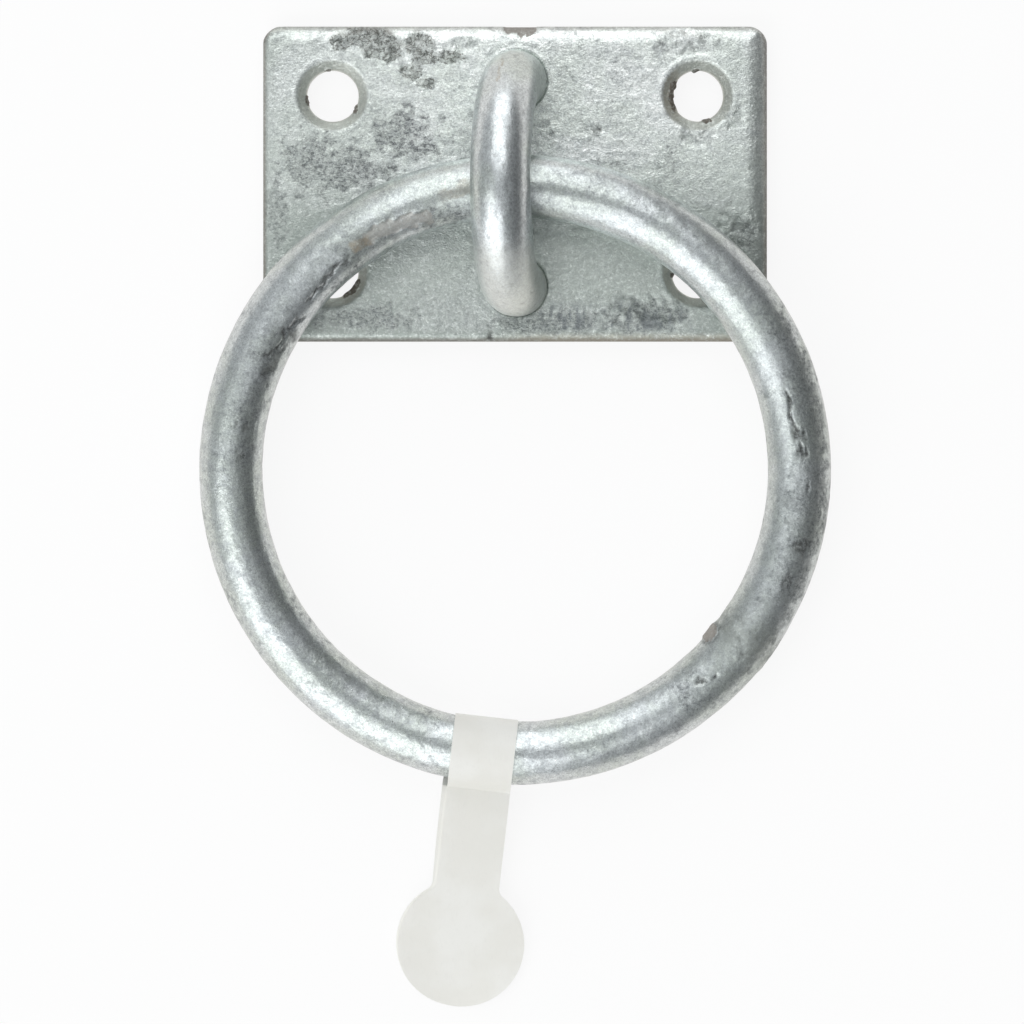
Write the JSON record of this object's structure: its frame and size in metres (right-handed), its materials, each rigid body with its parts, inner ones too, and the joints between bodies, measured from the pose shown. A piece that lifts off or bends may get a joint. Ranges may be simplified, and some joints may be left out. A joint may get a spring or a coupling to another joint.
{
  "type": "ring plate",
  "caption": "Flat screw-on plate with countersunk corner holes, a welded round-bar staple and a loose swinging ring carrying a blank paper tag.",
  "frame": {"origin": "centre of the plate's back face, on the surface that the part is screwed to or lies on", "axes": "+Z out of the plate's front, +X to the right and +Y up as seen from the front; the ring lies towards -Y"},
  "size_m": [0.1, 0.1559, 0.0276],
  "materials": {
    "plate_zinc": "hot-dip galvanised flat steel, mottled light and dark grey with lumps of dross",
    "staple_zinc": "hot-dip galvanised round bar, fairly bright with fine pits",
    "ring_zinc": "hot-dip galvanised round bar, mottled, with scars, flakes and a dull welded seam",
    "weld_zinc": "rough weld metal under zinc",
    "tag_paper": "blank white coated paper, slightly creased"
  },
  "bodies": {
    "plate": {"plate": "plate_zinc", "staple": "staple_zinc", "back_weld_upper": "weld_zinc", "back_weld_lower": "weld_zinc"},
    "ring": {"ring": "ring_zinc", "label_tag": "tag_paper"}
  },
  "joints": [
    {"name": "ring_swing", "type": "hinge", "parent": "plate", "child": "ring", "pos_m": [0, -0.0006, 0.01189], "axis": [-1, 0, 0], "range_deg": [0, 187.5]}
  ]
}
